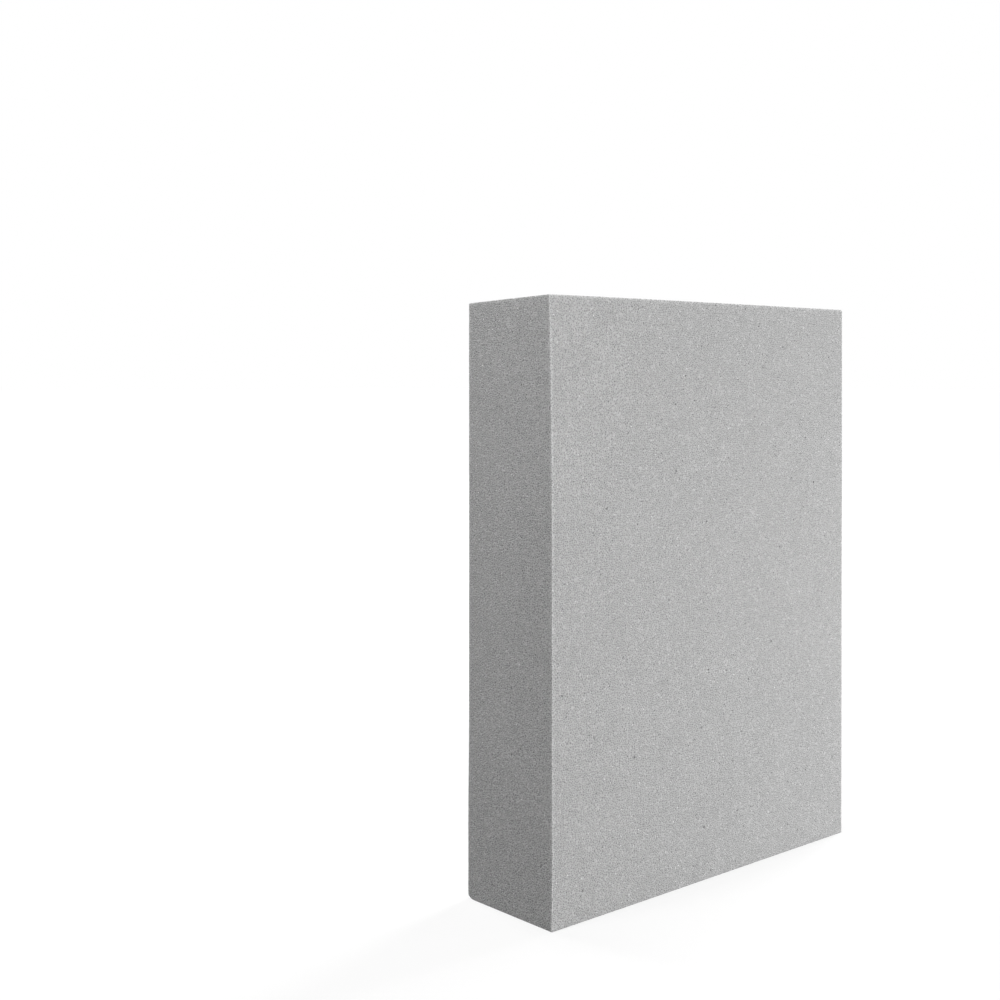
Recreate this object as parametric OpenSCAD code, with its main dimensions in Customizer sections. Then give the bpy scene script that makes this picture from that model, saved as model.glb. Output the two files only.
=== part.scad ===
// A fine-celled foam block: one saw-cut piece, standing on its narrow end.
// The front broad face looks toward -Y, and the origin is at the middle of the foot.

/* [Block] */
// Width of the broad faces
block_w = 153; // [40:1:400]
// Thickness between the two broad faces
block_t = 41; // [15:0.5:150]
// Height of the front broad face
block_h = 200; // [40:1:500]

/* [Saw cut] */
// Radius that rounds every edge of the cut
edge_r = 0.3; // [0.2:0.1:1]
// How much lower the top lies at the back face than at the front face
top_fall = 1.3; // [0:0.1:4]

/* [Worn corner] */
// Radius of the rubbed surface at the left back corner of the foot
wear_r = 4; // [3:0.5:10]

/* [Hidden] */
$fn = 64;

foam_grey = "#b4b4b4";
half_w = block_w / 2;
half_t = block_t / 2;
back_h = block_h - top_fall;
fall_angle = atan(top_fall / block_t);
// The rounded outlines stand this far off the faces, so that only their arcs cut the block
stand_off = 0.002;
// A length that goes past the block in every direction
reach = block_w + block_t + block_h;
// How far the tip of the worn corner is rubbed back, as a share of the rubbed radius
wear_share = 0.2;
// How far in from each of its three faces the middle of the rubbed surface lies
wear_inset = wear_r * (1 + wear_share) / sqrt(3);

// Outlines of the block from the side, from above and from the front, all anticlockwise
side_corners = [[-half_t, 0], [half_t, 0], [half_t, back_h], [-half_t, block_h]];
plan_corners = [[-half_w, -half_t], [half_w, -half_t], [half_w, half_t], [-half_w, half_t]];
function front_corners(low, high) = [
    [-half_w, low], [half_w, low], [half_w, high], [-half_w, high]
];

// The inward normal of the side that starts at corner i
function inward(corners, i) =
    let(
        n = len(corners),
        along = corners[(i + 1) % n] - corners[i % n]
    )
    [-along.y, along.x] / norm(along);

// The point that lies the same distance in from both sides that meet at corner i
function inset_point(corners, i, distance) =
    let(
        before = inward(corners, i + len(corners) - 1),
        after = inward(corners, i)
    )
    corners[i] + distance * (before + after) / (1 + before * after);

// The outline with each corner rounded and each side just clear of the block
module rounded_outline(corners) {
    last = len(corners) - 1;
    polygon([
        for (i = [0 : last])
            for (side = [i + last, i])
                inset_point(corners, i, edge_r - stand_off) - edge_r * inward(corners, side)
    ]);
    for (i = [0 : last])
        translate(inset_point(corners, i, edge_r - stand_off))
            circle(edge_r);
}

// Pushes an outline of Y and Z along X
module along_x(length) {
    rotate([90, 0, 90])
        linear_extrude(length, center = true)
            children();
}

// Pushes an outline of X and Z along Y
module along_y(length) {
    rotate([90, 0, 0])
        linear_extrude(length, center = true)
            children();
}

// The block as it is before its edges are rounded
module sharp_block() {
    along_x(block_w)
        polygon(side_corners);
}

// Rounds the four upright edges
module upright_edges() {
    linear_extrude(2 * reach, center = true)
        rounded_outline(plan_corners);
}

// Rounds the long edges of the foot and of the top
module long_edges() {
    along_x(2 * reach)
        rounded_outline(side_corners);
}

// Rounds the short edges of the foot
module foot_edges() {
    along_y(2 * reach)
        rounded_outline(front_corners(0, reach));
}

// Rounds the short edges of the top, along its slope
module top_edges() {
    translate([0, -half_t, block_h])
        rotate([-fall_angle, 0, 0])
            along_y(2 * reach)
                rounded_outline(front_corners(-reach, 0));
}

// What has been rubbed off the left back corner of the foot
module rubbed_off() {
    translate([-half_w, half_t, 0])
        difference() {
            cube(2 * wear_inset, center = true);
            translate([wear_inset, -wear_inset, wear_inset])
                sphere(wear_r);
        }
}

module foam_block() {
    color(foam_grey)
        difference() {
            intersection() {
                sharp_block();
                upright_edges();
                long_edges();
                foot_edges();
                top_edges();
            }
            rubbed_off();
        }
}

foam_block();
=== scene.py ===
import math
import random

import bmesh
import bpy
import numpy as np
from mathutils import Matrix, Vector, noise


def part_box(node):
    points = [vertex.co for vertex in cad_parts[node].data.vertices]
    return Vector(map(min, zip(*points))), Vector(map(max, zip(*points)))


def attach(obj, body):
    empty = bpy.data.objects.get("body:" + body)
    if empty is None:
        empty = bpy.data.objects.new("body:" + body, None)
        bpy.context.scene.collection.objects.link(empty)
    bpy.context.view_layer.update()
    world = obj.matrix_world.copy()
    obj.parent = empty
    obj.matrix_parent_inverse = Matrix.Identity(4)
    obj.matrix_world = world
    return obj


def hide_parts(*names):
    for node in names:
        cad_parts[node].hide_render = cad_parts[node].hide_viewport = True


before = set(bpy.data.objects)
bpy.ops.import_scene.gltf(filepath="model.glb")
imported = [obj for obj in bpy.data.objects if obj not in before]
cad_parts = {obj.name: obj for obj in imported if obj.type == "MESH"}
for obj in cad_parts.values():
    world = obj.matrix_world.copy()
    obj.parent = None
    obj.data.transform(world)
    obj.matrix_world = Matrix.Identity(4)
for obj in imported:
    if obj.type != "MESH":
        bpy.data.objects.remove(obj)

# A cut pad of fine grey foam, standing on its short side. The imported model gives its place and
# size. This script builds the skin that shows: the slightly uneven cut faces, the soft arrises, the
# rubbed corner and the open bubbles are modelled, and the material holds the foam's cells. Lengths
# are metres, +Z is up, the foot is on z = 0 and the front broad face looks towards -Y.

MM = 0.001
X, Y, Z = 0, 1, 2

# ---- The block -------------------------------------------------------------------------------
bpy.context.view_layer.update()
LOW, HIGH = (np.array(corner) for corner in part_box("foam_block"))
SIZE = HIGH - LOW
TOP_FALL = 1.3 * MM        # the top is cut this much lower at the back than at the front
EDGE_RADIUS = 0.3 * MM     # the soft arris that cutting leaves
ARRIS_REACH = 1.6 * MM     # how far in from a sharp arris the foam still counts as one
ARRIS_FADE = 3             # how steeply that falls off on the way in
RUB_REACH = np.array([3.5, 4.2, 2.4]) * MM    # how far the rub runs from its corner, each way
RUB_POWER = 2.3            # 2 wears the corner to an ellipse, more leaves it squarer
ARRIS_FULLNESS = 2         # the rub's measure on an arris beyond it: 1 for each of its two faces

# ---- The near upright edge, where the knife wandered ------------------------------------------
LEAN_TOP = 1.3 * MM        # how far the front face falls back there at the top
LEAN_FOOT = 0.2 * MM       # and at the foot
LEAN_TOP_FROM = 0.115      # height at which it starts to fall back towards the top
LEAN_FOOT_TO = 0.025       # height below which it falls back towards the foot
LEAN_WIDTH = 0.045         # how far across the front face it fades out

# ---- The two narrow sides, which the cut left slightly bowed ----------------------------------
HOLLOW_DEPTH = 0.35 * MM   # how far the left side falls in along its back edge
HOLLOW_HEIGHTS = (0.025, 0.066)    # where that sets in above the foot, and where it is full
TUCK_FOOT = 0.42 * MM      # how far the right side falls in at the foot
TUCK_HEIGHT = 0.125        # where that has faded out
BOW_WIDTH = 0.03           # how far across the width each fades out

# ---- The skin's mesh --------------------------------------------------------------------------
SEED = 7
ARC_ANGLES = (45, 30, 15)  # where each half of an arris has its lines, in degrees
EDGE_STEPS = np.array([0.35, 0.5, 0.7, 0.9]) * MM    # between the first lines in from an arris
SPACING = 1.20 * MM        # between the lines over the rest of a face
WAVES = (11 * MM, 4.5 * MM)        # the two sizes of unevenness of a cut face
WAVE_DEPTHS = (0.02 * MM, 0.012 * MM)
FRAY_SIZE = 2.6 * MM       # ragged lengths along an arris
FRAY_DEPTH = 0.08 * MM
WELD_REACH = 0.001 * MM    # points of two faces nearer than this are one point of an arris

# ---- Open bubbles in the cut faces ------------------------------------------------------------
BUBBLES_PER_AREA = 0.75e4  # tries per square metre
BUBBLE_RADII = (0.20 * MM, 0.42 * MM)
BUBBLE_RARITY = 4          # how much rarer the large ones are: 1 for as many of each radius
BUBBLE_DEPTHS = (0.8, 1.2)         # as shares of the radius
BUBBLE_WOBBLE = (0.85, 1.15)       # how far the rim strays from a circle, as shares of the radius
BUBBLE_SHIFT = 0.16 * MM   # how far a bubble may lie from its grid point
BUBBLE_APART = 3           # lines of the grid between two bubbles, at least
BUBBLE_MARGIN = 7          # lines of the grid left whole along an arris
# Rings of a bubble, from the rim in: share of the radius, share of the depth
BUBBLE_RINGS = ((1.22, 0.0), (1.0, 0.12), (0.82, 0.55), (0.45, 0.9))
# The eight grid points round a bubble's own, anticlockwise
RING_SPOKES = ((1, 0), (1, 1), (0, 1), (-1, 1), (-1, 0), (-1, -1), (0, -1), (1, -1))

# ---- The six faces: the axis and side that each looks to, and its axes across and up the map ---
FACES = {
    "front": (Y, -1, X, Z),
    "back": (Y, 1, X, Z),
    "left": (X, -1, Z, Y),
    "right": (X, 1, Z, Y),
    "foot": (Z, -1, X, Y),
    "top": (Z, 1, X, Y),
}
MAP_GAP = 2 * MM           # between two faces in the map that a bake uses


def smooth(share):
    """A share from 0 to 1 eased at both ends."""
    return share ** 2 * (3 - 2 * share)


def lines_across(low, high):
    """Places of the grid's lines from one face to the opposite one: close at both arrises."""
    arc = [EDGE_RADIUS * (1 - math.tan(math.radians(angle))) for angle in ARC_ANGLES]
    edge = np.concatenate([arc, EDGE_RADIUS + np.concatenate([[0], np.cumsum(EDGE_STEPS)])])
    middle_low, middle_high = low + edge[-1], high - edge[-1]
    count = round((middle_high - middle_low) / SPACING)
    middle = np.linspace(middle_low, middle_high, count + 1)[1:-1]
    return np.concatenate([low + edge, middle, high - edge[::-1]])


LINES = [lines_across(LOW[axis], HIGH[axis]) for axis in (X, Y, Z)]


class Patch:
    """One face of the block as flat grid points, with the open bubbles sunk into it."""

    def __init__(self, normal, side, rng):
        self.normal, self.side = normal, side
        self.u, self.v = (normal + 1) % 3, (normal + 2) % 3
        self.columns, self.rows = len(LINES[self.u]), len(LINES[self.v])
        self.points = []
        self.sinks = []
        self.pores = []
        self.polygons = []
        for u in LINES[self.u]:
            for v in LINES[self.v]:
                self.add_point(u, v)
        bubbles = self.choose_bubbles(rng)
        # A bubble takes up the four squares round its grid point.
        taken = {(i + a, j + b) for i, j in bubbles for a in (-1, 0) for b in (-1, 0)}
        for i in range(self.columns - 1):
            for j in range(self.rows - 1):
                if (i, j) not in taken:
                    corners = ((i, j), (i + 1, j), (i + 1, j + 1), (i, j + 1))
                    self.add_polygon([self.grid(*corner) for corner in corners])
        for i, j in bubbles:
            self.add_bubble(i, j, rng)

    def grid(self, i, j):
        """Number of the grid point in column i and row j."""
        return i * self.rows + j

    def add_point(self, u, v, sink=0.0, pore=0.0):
        """Adds a point of the face, sunk by a depth, and gives its number."""
        point = [0.0, 0.0, 0.0]
        point[self.normal] = (LOW if self.side < 0 else HIGH)[self.normal]
        point[self.u], point[self.v] = u, v
        self.points.append(point)
        self.sinks.append(sink)
        self.pores.append(pore)
        return len(self.points) - 1

    def add_polygon(self, corners):
        """Adds a polygon whose corners run anticlockwise seen from +normal, turned to face out."""
        self.polygons.append(corners if self.side > 0 else corners[::-1])

    def choose_bubbles(self, rng):
        """Grid points that carry an open bubble, none near an arris or another bubble."""
        area = SIZE[self.u] * SIZE[self.v]
        columns = range(BUBBLE_MARGIN, self.columns - BUBBLE_MARGIN)
        rows = range(BUBBLE_MARGIN, self.rows - BUBBLE_MARGIN)
        chosen = []
        blocked = set()
        for _ in range(round(area * BUBBLES_PER_AREA)):
            i, j = rng.choice(columns), rng.choice(rows)
            if (i, j) in blocked:
                continue
            chosen.append((i, j))
            reach = range(-BUBBLE_APART, BUBBLE_APART + 1)
            blocked.update((i + a, j + b) for a in reach for b in reach)
        return chosen

    def add_bubble(self, i, j, rng):
        """Sinks a small bowl into the four squares round a grid point."""
        smallest, largest = BUBBLE_RADII
        radius = smallest + (largest - smallest) * rng.random() ** BUBBLE_RARITY
        depth = radius * rng.uniform(*BUBBLE_DEPTHS)
        centre_u = LINES[self.u][i] + rng.uniform(-1, 1) * BUBBLE_SHIFT
        centre_v = LINES[self.v][j] + rng.uniform(-1, 1) * BUBBLE_SHIFT
        wobble = [rng.uniform(*BUBBLE_WOBBLE) for _ in RING_SPOKES]
        outer = [self.grid(i + a, j + b) for a, b in RING_SPOKES]
        for share, sunk in BUBBLE_RINGS:
            ring = []
            for (a, b), stretch in zip(RING_SPOKES, wobble):
                reach = share * stretch * radius / math.hypot(a, b)
                u, v = centre_u + a * reach, centre_v + b * reach
                ring.append(self.add_point(u, v, sunk * depth, sunk))
            self.join_rings(outer, ring)
            outer = ring
        middle = self.add_point(centre_u, centre_v, depth, 1.0)
        for a, b in zip(outer, outer[1:] + outer[:1]):
            self.add_polygon([a, b, middle])

    def join_rings(self, outer, inner):
        """A band of four-sided polygons between two rings of points."""
        for k in range(len(outer)):
            after = (k + 1) % len(outer)
            self.add_polygon([outer[k], outer[after], inner[after], inner[k]])


def flat_to_formed(points, sinks):
    """Points of the sharp box moved to the real surface, and how near each is to an arris.

    The arrises of the foot are pressed on the floor, so they don't count.
    """
    core = np.clip(points, LOW + EDGE_RADIUS, HIGH - EDGE_RADIUS)
    outward = points - core
    outward /= np.linalg.norm(outward, axis=1, keepdims=True)
    from_planes = np.minimum(points - LOW, HIGH - points)
    from_planes[:, Z] = HIGH[Z] - points[:, Z]
    from_arris = np.sort(from_planes, axis=1)[:, 1]
    arris = np.clip(1 - from_arris / ARRIS_REACH, 0, 1) ** ARRIS_FADE
    depth = sinks + unevenness(points, arris)
    formed = core + outward * (EDGE_RADIUS - depth[:, None])
    formed = rubbed(bowed(leaning(formed)))
    formed[:, Z] *= 1 - TOP_FALL / SIZE[Z] * (formed[:, Y] - LOW[Y]) / SIZE[Y]
    return formed, arris


def waviness(point, size):
    """Smooth noise between 0 and 1, with waves of one size."""
    return 0.5 + 0.5 * noise.noise(Vector(point / size))


def unevenness(points, arris):
    """How far the cut surface lies below a true plane, and an arris below a true arc."""
    depth = np.zeros(len(points))
    for number, point in enumerate(points):
        for size, deep in zip(WAVES, WAVE_DEPTHS):
            depth[number] += deep * waviness(point, size)
        if arris[number] > 0:
            depth[number] += FRAY_DEPTH * arris[number] * waviness(point, FRAY_SIZE)
    return depth


def leaning(points):
    """Lets the front face fall back beside the near upright edge."""
    from_edge = np.clip(1 - (points[:, X] - LOW[X]) / LEAN_WIDTH, 0, 1)
    from_back = (HIGH[Y] - points[:, Y]) / SIZE[Y]
    up = np.clip((points[:, Z] - LEAN_TOP_FROM) / (HIGH[Z] - LEAN_TOP_FROM), 0, 1)
    down = np.clip(1 - points[:, Z] / LEAN_FOOT_TO, 0, 1)
    back = LEAN_TOP * up ** 2 + LEAN_FOOT * down ** 2
    moved = points.copy()
    moved[:, Y] += back * smooth(from_edge) * from_back
    return moved


def bowed(points):
    """Lets the left side fall in along its back edge, and the right side at its foot."""
    from_left = np.clip(1 - (points[:, X] - LOW[X]) / BOW_WIDTH, 0, 1)
    from_right = np.clip(1 - (HIGH[X] - points[:, X]) / BOW_WIDTH, 0, 1)
    from_front = (points[:, Y] - LOW[Y]) / SIZE[Y]
    sets_in, full = HOLLOW_HEIGHTS
    up = np.clip((points[:, Z] - sets_in) / (full - sets_in), 0, 1)
    down = np.clip(1 - points[:, Z] / TUCK_HEIGHT, 0, 1)
    moved = points.copy()
    moved[:, X] += HOLLOW_DEPTH * from_left * from_front * smooth(up)
    moved[:, X] -= TUCK_FOOT * from_right * down
    return moved


def rubbed(points):
    """Wears the left back corner of the foot round, and leaves the arrises beyond it alone."""
    corner = np.array([LOW[X], HIGH[Y], LOW[Z]])
    inward = np.array([1, -1, 1])
    nearness = np.clip(1 - (points - corner) * inward / RUB_REACH, 0, None)
    fullness = (nearness ** RUB_POWER).sum(axis=1, keepdims=True)
    shrink = (ARRIS_FULLNESS / np.maximum(fullness, ARRIS_FULLNESS)) ** (1 / RUB_POWER)
    return points + inward * RUB_REACH * nearness * (1 - shrink)


def map_places():
    """Lower left corner of each face in the bake's map, in metres, and the side of the whole map."""
    second_column = MAP_GAP * 2 + SIZE[X]
    rows = {"front": MAP_GAP}
    rows["left"] = rows["front"] + SIZE[Z] + MAP_GAP
    rows["right"] = rows["left"] + SIZE[Y] + MAP_GAP
    rows["foot"] = rows["right"] + SIZE[Y] + MAP_GAP
    places = {name: (MAP_GAP, row) for name, row in rows.items()}
    places["back"] = (second_column, rows["front"])
    places["top"] = (second_column, rows["foot"])
    return places, rows["foot"] + SIZE[Y] + MAP_GAP


def build_skin():
    """The block's whole skin as one closed mesh."""
    rng = random.Random(SEED)
    places, map_side = map_places()
    points, sinks, pores, polygons, map_points = [], [], [], [], []
    for name, (normal, side, across, up) in FACES.items():
        patch = Patch(normal, side, rng)
        first = len(points)
        points += patch.points
        sinks += patch.sinks
        pores += patch.pores
        polygons += [[first + corner for corner in polygon] for polygon in patch.polygons]
        left, bottom = places[name]
        for point in patch.points:
            map_points.append((
                (left + point[across] - LOW[across]) / map_side,
                (bottom + point[up] - LOW[up]) / map_side,
            ))
    formed, arris = flat_to_formed(np.array(points), np.array(sinks))
    mesh = bpy.data.meshes.new("foam_block_skin")
    mesh.from_pydata(formed.tolist(), [], polygons)
    bake_map = mesh.uv_layers.new(name="OFBake")
    for loop in mesh.loops:
        bake_map.data[loop.index].uv = map_points[loop.vertex_index]
    for name, values in (("arris", arris), ("pore", pores)):
        attribute = mesh.attributes.new(name, "FLOAT", "POINT")
        attribute.data.foreach_set("value", np.array(values, dtype=np.float32))
    join_patches(mesh)
    mesh.shade_smooth()
    skin = bpy.data.objects.new("foam_block_skin", mesh)
    bpy.context.scene.collection.objects.link(skin)
    return skin


def join_patches(mesh):
    """Welds the six faces along the arrises, and drops the grid points that bubbles took over."""
    work = bmesh.new()
    work.from_mesh(mesh)
    bmesh.ops.remove_doubles(work, verts=work.verts, dist=WELD_REACH)
    unused = [point for point in work.verts if not point.link_faces]
    bmesh.ops.delete(work, geom=unused, context="VERTS")
    work.to_mesh(mesh)
    work.free()


# ---- Materials -------------------------------------------------------------------------------
class Nodes:
    """Short calls that each add a node to a material or world and wire it up."""

    def __init__(self, tree):
        self.tree = tree
        tree.nodes.clear()

    def add(self, kind, inputs=(), **settings):
        """Gives the new node, where the calls below give its output."""
        node = self.tree.nodes.new(kind)
        for name, value in settings.items():
            setattr(node, name, value)
        for socket, value in dict(inputs).items():
            if isinstance(value, bpy.types.NodeSocket):
                self.tree.links.new(value, node.inputs[socket])
            else:
                node.inputs[socket].default_value = value
        return node

    def times(self, first, second):
        return self.math("MULTIPLY", first, second)

    def math(self, operation, *values):
        return self.add("ShaderNodeMath", enumerate(values), operation=operation).outputs[0]

    def remap(self, value, from_range, to_range, kind="LINEAR"):
        inputs = {"Value": value, "From Min": from_range[0], "From Max": from_range[1],
                  "To Min": to_range[0], "To Max": to_range[1]}
        return self.add("ShaderNodeMapRange", inputs, interpolation_type=kind).outputs["Result"]

    def voronoi(self, place, size, output="Distance", feature="F1"):
        inputs = {"Vector": place, "Scale": 1 / size}
        return self.add("ShaderNodeTexVoronoi", inputs, feature=feature).outputs[output]

    def noise(self, place, size, detail=0.0):
        inputs = {"Vector": place, "Scale": 1 / size, "Detail": detail}
        return self.add("ShaderNodeTexNoise", inputs).outputs[0]

    def mix(self, share, first, second):
        inputs = {"Factor": share, 2: first, 3: second}
        return self.add("ShaderNodeMix", inputs, data_type="FLOAT").outputs[0]

    def attribute(self, name):
        return self.add("ShaderNodeAttribute", attribute_name=name).outputs["Fac"]


# How much light the foam gives back, taken over many cells. The other tones are shares of it.
FOAM_TONE = 0.41
CELL_SIZE = 0.72 * MM
CELL_DEPTH = 0.03 * MM     # how far the deepest hollow looks sunk below its walls
HOLLOW_GRAIN_AND_SHADE = (0.84, 0.71)  # of the shallowest hollow and of the deepest: a random tone from cell to cell, with painted shade that grows as the hollow deepens
WALL_SPAN = (0.02, 0.22)   # where a wall ends and where its cell's hollow is full, as cell sizes
WALL_TONE = 1.28
# Small round spots all through the foam, cut open by a face: how far apart, radius, tone. The dark
# pinholes are painted shade in tiny cavities, and the pale wall knots are painted glints of torn
# wall ends
PINHOLE_PAINTED_SHADE = (2.7 * MM, 0.28 * MM, 0.3)
WALL_PAINTED_GLINTS = (1.8 * MM, 0.24 * MM, 1.65)
TUFT_SIZE = 0.4 * MM       # the torn ends of cell walls that stand up from the cut
TUFT_DEPTH = 0.5 * MM      # how high the highest of them looks
TUFT_DETAIL = 1
MOTTLE_SIZES = (22 * MM, 6 * MM)   # a faint drift of the tone over the whole foam
MOTTLE_DEPTH = 0.02
MOTTLE_DETAIL = 2
NOISE_SPAN = (0.25, 0.75)  # what the noise of a mottle mostly keeps to
ARRIS_PAINTED_HIGHLIGHT = 0.35          # painted highlight: the colour made lighter near an arris, for light scattered through its thin foam
PORE_PAINTED_SHADE = 0.5           # painted shade: how much darker the colour is made inside a bubble, for the shade in its hollow
ROUGHNESS_SPAN = (0.82, 0.98)      # of a wall and of the deepest hollow
SPECULAR = 0.15


def spots(nodes, place, apart, radius, tone):
    """The tone inside small round spots that lie all through the foam, and 1 between them: painted
    shade where the tone is below 1, painted glints where it is above.
    """
    away = nodes.voronoi(place, apart)
    rim = radius / apart
    return nodes.remap(away, (rim / 2, rim), (tone, 1), "SMOOTHSTEP")


def mottle(nodes, place, size):
    """A faint drift of the tone to either side of 1."""
    drift = nodes.noise(place, size, MOTTLE_DETAIL)
    return nodes.remap(drift, NOISE_SPAN, (1 - MOTTLE_DEPTH, 1 + MOTTLE_DEPTH))


def foam_tone(nodes, place, hollow, own_depth):
    """How much light the foam gives back at each place, with painted shade and painted highlights
    put into it.
    """
    tone = nodes.mix(hollow, WALL_TONE, nodes.remap(own_depth, (0, 1), HOLLOW_GRAIN_AND_SHADE))
    # Painted shade in the pinholes and painted glints on the wall knots
    for kind in (PINHOLE_PAINTED_SHADE, WALL_PAINTED_GLINTS):
        tone = nodes.times(tone, spots(nodes, place, *kind))
    for size in MOTTLE_SIZES:
        tone = nodes.times(tone, mottle(nodes, place, size))
    # Painted highlight: the colour made lighter along the arrises
    painted_arris_highlight = nodes.remap(nodes.attribute("arris"), (0, 1), (1, 1 + ARRIS_PAINTED_HIGHLIGHT))
    # Painted shade: the colour made darker inside the bubbles, most at the bottom
    painted_pore_shade = nodes.remap(nodes.attribute("pore"), (0, 1), (1, 1 - PORE_PAINTED_SHADE))
    tone = nodes.times(tone, nodes.times(painted_arris_highlight, painted_pore_shade))
    return nodes.times(tone, FOAM_TONE)


def foam_material():
    """Fine cut foam: cells with pale walls and hollows darkened by painted shade that deepens with
    each hollow's depth, no two of the same depth.
    """
    material = bpy.data.materials.new("grey_foam")
    material.use_nodes = True
    nodes = Nodes(material.node_tree)
    place = nodes.add("ShaderNodeTexCoord").outputs["Object"]
    cells = nodes.voronoi(place, CELL_SIZE, "Color")
    own_depth = nodes.add("ShaderNodeSeparateColor", {"Color": cells}).outputs[0]
    from_wall = nodes.voronoi(place, CELL_SIZE, feature="DISTANCE_TO_EDGE")
    hollow = nodes.remap(from_wall, WALL_SPAN, (0, 1), "SMOOTHSTEP")
    openness = nodes.times(hollow, own_depth)

    tone = foam_tone(nodes, place, hollow, own_depth)
    colour = nodes.add("ShaderNodeCombineColor", {0: tone, 1: tone, 2: tone}).outputs[0]
    tufts = nodes.times(nodes.noise(place, TUFT_SIZE, TUFT_DETAIL), TUFT_DEPTH)
    height = nodes.math("MULTIPLY_ADD", openness, -CELL_DEPTH, tufts)
    bump = nodes.add("ShaderNodeBump", {"Height": height, "Strength": 1.0, "Distance": 1.0})
    shader = nodes.add("ShaderNodeBsdfPrincipled", {
        "Base Color": colour,
        "Roughness": nodes.remap(openness, (0, 1), ROUGHNESS_SPAN),
        "Normal": bump.outputs[0],
        "Specular IOR Level": SPECULAR,
    })
    nodes.add("ShaderNodeOutputMaterial", {"Surface": shader.outputs[0]})
    return material


# ---- The floor, the light and the camera -------------------------------------------------------
FLOOR_SIDE = 60
FLOOR_TONE = 0.25          # how much light the floor gives back, to the block as well
FLOOR_LIFT = 0.75          # glow that the camera sees beside the block, where its shadow falls
WHITE_FROM = 0.9           # distance from the block at which the floor has become plain white
AMBIENT = 0.04             # strength of the even light from all round
# Square soft lamps that look at the middle of the block: place, side, watts
LAMPS = {
    "key": ((-0.185, -2.117, 0.32), 0.6, 34.5),
    "side": ((-0.50, -0.05, 0.60), 0.3, 2.72),
    "fill": ((0.30, -0.30, 0.05), 0.1, 0.65),
    "right": ((1.20, 0.15, 0.90), 0.6, 18),
    "back": ((-0.10, 1.80, 0.60), 1.0, 30),
}
CAMERA_PLACE = (-0.38753, -0.34819, 0.1722)
CAMERA_HEADING = math.radians(41.43)   # clockwise from +Y, seen from above
CAMERA_LENS = 51.98        # in millimetres, as is the sensor
CAMERA_SENSOR = 36
CAMERA_SHIFT_UP = -0.1176
CAMERA_NEAR = 0.01         # nearest thing that it sees


def seen_ray(nodes):
    """1 for what the camera sees, straight or in a gloss or through glass, and 0 for other light."""
    path = nodes.add("ShaderNodeLightPath").outputs
    seen = nodes.math("MAXIMUM", path["Is Camera Ray"], path["Is Glossy Ray"])
    return nodes.math("MAXIMUM", seen, path["Is Transmission Ray"])


def floor_material():
    """Pale matt floor, white to the camera apart from the block's soft shadow."""
    material = bpy.data.materials.new("studio_floor")
    material.use_nodes = True
    nodes = Nodes(material.node_tree)
    place = nodes.add("ShaderNodeTexCoord").outputs["Object"]
    away = nodes.add("ShaderNodeVectorMath", {0: place}, operation="LENGTH").outputs["Value"]
    lift = nodes.remap(away, (SIZE[X], WHITE_FROM), (FLOOR_LIFT, 1), "SMOOTHSTEP")
    glow = nodes.add("ShaderNodeEmission", {"Strength": nodes.times(lift, seen_ray(nodes))})
    matt = nodes.add("ShaderNodeBsdfDiffuse", {"Color": (FLOOR_TONE, FLOOR_TONE, FLOOR_TONE, 1)})
    both = nodes.add("ShaderNodeAddShader", {0: matt.outputs[0], 1: glow.outputs[0]})
    nodes.add("ShaderNodeOutputMaterial", {"Surface": both.outputs[0]})
    return material


def add_floor():
    bpy.ops.mesh.primitive_plane_add(size=FLOOR_SIDE)
    floor = bpy.context.object
    floor.name = "floor"
    floor.data.materials.append(floor_material())


def light_world():
    """A little even light from all round, behind a background that the camera sees white."""
    world = bpy.data.worlds.new("studio")
    world.use_nodes = True
    bpy.context.scene.world = world
    nodes = Nodes(world.node_tree)
    strength = nodes.remap(seen_ray(nodes), (0, 1), (AMBIENT, 1))
    background = nodes.add("ShaderNodeBackground", {"Color": (1, 1, 1, 1), "Strength": strength})
    nodes.add("ShaderNodeOutputWorld", {"Surface": background.outputs[0]})


def add_lamp(name, place, side, watts):
    light = bpy.data.lights.new(name, "AREA")
    light.size = side
    light.energy = watts
    lamp = bpy.data.objects.new(name, light)
    lamp.location = place
    lamp.visible_camera = False
    towards = Vector((LOW + HIGH) / 2) - Vector(place)
    lamp.rotation_euler = towards.to_track_quat("-Z", "Y").to_euler()
    bpy.context.scene.collection.objects.link(lamp)


def add_camera():
    lens = bpy.data.cameras.new("camera")
    lens.sensor_width = CAMERA_SENSOR
    lens.lens = CAMERA_LENS
    lens.shift_y = CAMERA_SHIFT_UP
    lens.clip_start = CAMERA_NEAR
    camera = bpy.data.objects.new("camera", lens)
    camera.location = CAMERA_PLACE
    camera.rotation_euler = (math.pi / 2, 0, -CAMERA_HEADING)
    bpy.context.scene.collection.objects.link(camera)
    bpy.context.scene.camera = camera


# ---- The scene ---------------------------------------------------------------------------------
add_camera()
add_floor()
light_world()
for name, (place, side, watts) in LAMPS.items():
    add_lamp(name, place, side, watts)

skin = build_skin()
skin.data.materials.append(foam_material())
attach(skin, "root")
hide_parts("foam_block")

bpy.context.scene.view_settings.view_transform = "Standard"
